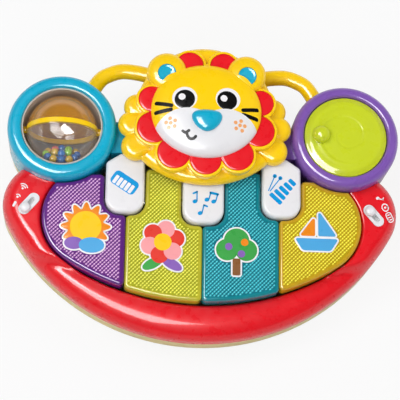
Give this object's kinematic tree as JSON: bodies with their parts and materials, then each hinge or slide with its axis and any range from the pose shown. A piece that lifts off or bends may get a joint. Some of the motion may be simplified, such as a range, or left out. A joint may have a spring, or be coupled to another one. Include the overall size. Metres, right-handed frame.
{
  "type": "kick toy piano",
  "caption": "Flat musical toy for a cot with sprung light-up keys, push buttons, a spinning bead ball, a turning dial, slide switches and a lion's head over a carrying handle.",
  "frame": {"origin": "middle of the footprint, on the surface that the feet stand on", "axes": "+X to the toy's right, +Y towards its handle, +Z out of its face"},
  "size_m": [0.3298, 0.244, 0.0906],
  "materials": {
    "cream_plastic": "satin moulded plastic",
    "red_plastic": "glossy moulded plastic",
    "blue_plastic": "glossy moulded plastic",
    "purple_plastic": "glossy moulded plastic",
    "yellow_plastic": "glossy moulded plastic",
    "white_plastic": "glossy moulded plastic",
    "lime_plastic": "glossy moulded plastic",
    "key_purple": "translucent plastic with a grained underside",
    "key_lime": "translucent plastic with a grained underside",
    "key_teal": "translucent plastic with a grained underside",
    "key_yellow": "translucent plastic with a grained underside",
    "amber_clear": "transparent tinted plastic",
    "clear_plastic": "transparent plastic",
    "bead_blue": "glossy beads",
    "bead_yellow": "glossy beads",
    "bead_green": "glossy beads",
    "bead_red": "glossy beads",
    "inner_plastic": "plain moulded plastic",
    "steel": "plain steel",
    "board": "printed board",
    "black_plastic": "plain moulded plastic",
    "rubber": "moulded rubber",
    "cell": "plain metal jacket"
  },
  "bodies": {
    "case": {"base_shell": "cream_plastic", "front_case": "red_plastic", "ball_ring": "blue_plastic", "dial_ring": "purple_plastic", "handle": "yellow_plastic", "pivot_rod": "steel", "button_guide": "inner_plastic", "mane_outer": "yellow_plastic", "mane_inner": "yellow_plastic", "mane_petals": "red_plastic", "lion_face": "yellow_plastic", "lion_muzzle": "white_plastic", "lion_nose": "blue_plastic", "ear_inlays": "blue_plastic", "ball_cup": "inner_plastic", "click_spring": "steel", "volume_bezel": "white_plastic", "volume_switch": "black_plastic", "mode_bezel": "white_plastic", "mode_switch": "black_plastic", "main_board": "board", "contact_domes": "rubber", "key_leds": "white_plastic", "speaker_frame": "black_plastic", "speaker_cone": "black_plastic", "speaker_magnet": "steel", "batteries": "cell", "battery_contacts": "steel", "battery_door": "cream_plastic", "battery_door_screw": "steel", "case_screws": "steel", "rubber_feet": "rubber"},
    "outer_left_key": {"key_outer_left": "key_purple", "carrier_outer_left": "inner_plastic"},
    "inner_left_key": {"key_inner_left": "key_lime", "carrier_inner_left": "inner_plastic"},
    "inner_right_key": {"key_inner_right": "key_teal", "carrier_inner_right": "inner_plastic"},
    "outer_right_key": {"key_outer_right": "key_yellow", "carrier_outer_right": "inner_plastic"},
    "left_button": {"button_left": "white_plastic"},
    "middle_button": {"button_middle": "white_plastic"},
    "right_button": {"button_right": "white_plastic"},
    "ball": {"ball_half_amber": "amber_clear", "ball_half_clear": "clear_plastic", "ball_band": "yellow_plastic", "beads_blue": "bead_blue", "beads_yellow": "bead_yellow", "beads_green": "bead_green", "beads_red": "bead_red"},
    "dial": {"dial_disc": "lime_plastic", "ratchet_wheel": "inner_plastic", "ratchet_screw": "steel"},
    "volume_slider": {"volume_knob": "white_plastic"},
    "mode_slider": {"mode_knob": "white_plastic"}
  },
  "joints": [
    {"name": "outer_left_key_press", "type": "hinge", "parent": "case", "child": "outer_left_key", "pos_m": [0, -0.008, 0.033], "axis": [1, 0, 0], "range_deg": [0, 3.2], "stiffness_Nm_per_rad": 1.2, "springref_deg": -2.86},
    {"name": "inner_left_key_press", "type": "hinge", "parent": "case", "child": "inner_left_key", "pos_m": [0, -0.008, 0.033], "axis": [1, 0, 0], "range_deg": [0, 3.2], "stiffness_Nm_per_rad": 1.2, "springref_deg": -2.86},
    {"name": "inner_right_key_press", "type": "hinge", "parent": "case", "child": "inner_right_key", "pos_m": [0, -0.008, 0.033], "axis": [1, 0, 0], "range_deg": [0, 3.2], "stiffness_Nm_per_rad": 1.2, "springref_deg": -2.86},
    {"name": "outer_right_key_press", "type": "hinge", "parent": "case", "child": "outer_right_key", "pos_m": [0, -0.008, 0.033], "axis": [1, 0, 0], "range_deg": [0, 3.2], "stiffness_Nm_per_rad": 1.2, "springref_deg": -2.86},
    {"name": "left_button_press", "type": "slide", "parent": "case", "child": "left_button", "axis": [0, 0, -1], "range_m": [0, 0.0025], "stiffness_N_per_m": 400, "springref_m": -0.002},
    {"name": "middle_button_press", "type": "slide", "parent": "case", "child": "middle_button", "axis": [0, 0, -1], "range_m": [0, 0.0025], "stiffness_N_per_m": 400, "springref_m": -0.002},
    {"name": "right_button_press", "type": "slide", "parent": "case", "child": "right_button", "axis": [0, 0, -1], "range_m": [0, 0.0025], "stiffness_N_per_m": 400, "springref_m": -0.002},
    {"name": "ball_spin", "type": "hinge", "parent": "case", "child": "ball", "pos_m": [-0.118, 0.0475, 0.046], "axis": [1, 0, 0], "continuous": true},
    {"name": "dial_spin", "type": "hinge", "parent": "case", "child": "dial", "pos_m": [0.118, 0.0475, 0.055], "axis": [0, 0, 1], "continuous": true},
    {"name": "volume_slide", "type": "slide", "parent": "case", "child": "volume_slider", "axis": [0.6428, 0.766, 0], "range_m": [0, 0.009]},
    {"name": "mode_slide", "type": "slide", "parent": "case", "child": "mode_slider", "axis": [0.6428, -0.766, 0], "range_m": [0, 0.009]}
  ]
}
